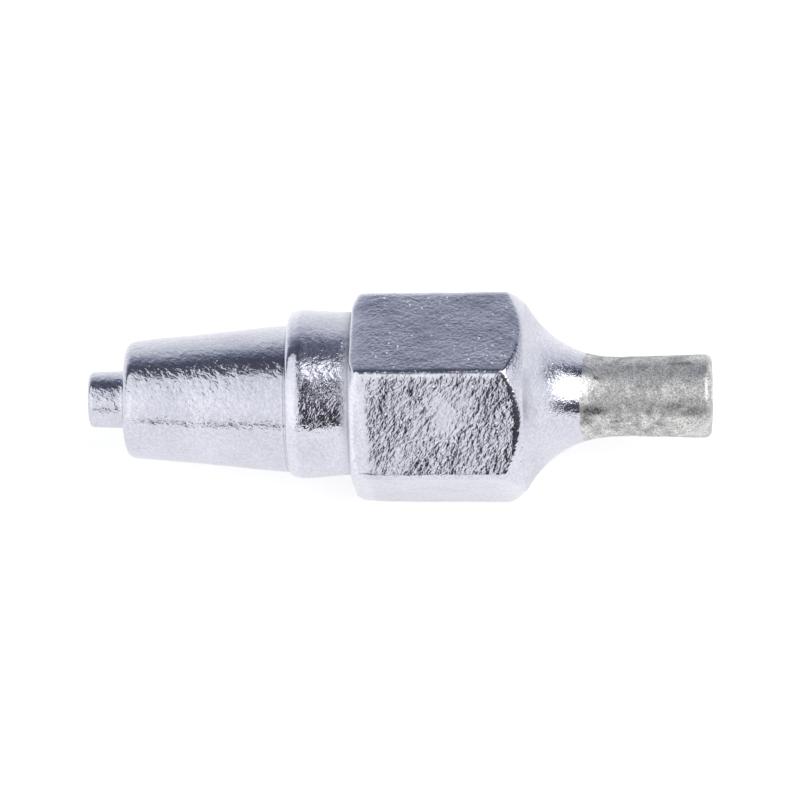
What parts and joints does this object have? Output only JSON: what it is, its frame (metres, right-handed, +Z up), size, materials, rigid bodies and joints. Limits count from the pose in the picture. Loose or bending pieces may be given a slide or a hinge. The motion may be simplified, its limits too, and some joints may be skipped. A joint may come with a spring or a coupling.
{
  "type": "desoldering nozzle",
  "caption": "Turned, plated suction nozzle with a rear stub, a tapered seat, an eccentric locking collar, a spanner hexagon and a flared, tinned tip.",
  "frame": {"origin": "middle of the bounding box on the surface that the nozzle lies on, under the hexagon's lowest flat", "axes": "+X along the suction bore towards the tinned tip, +Z up from the flat that the nozzle lies on"},
  "size_m": [0.0264, 0.009, 0.008],
  "materials": {
    "plating": "polished",
    "tin": "matte"
  },
  "bodies": {
    "root": {"nozzle_body": "plating", "tin_coat": "tin"}
  },
  "joints": []
}
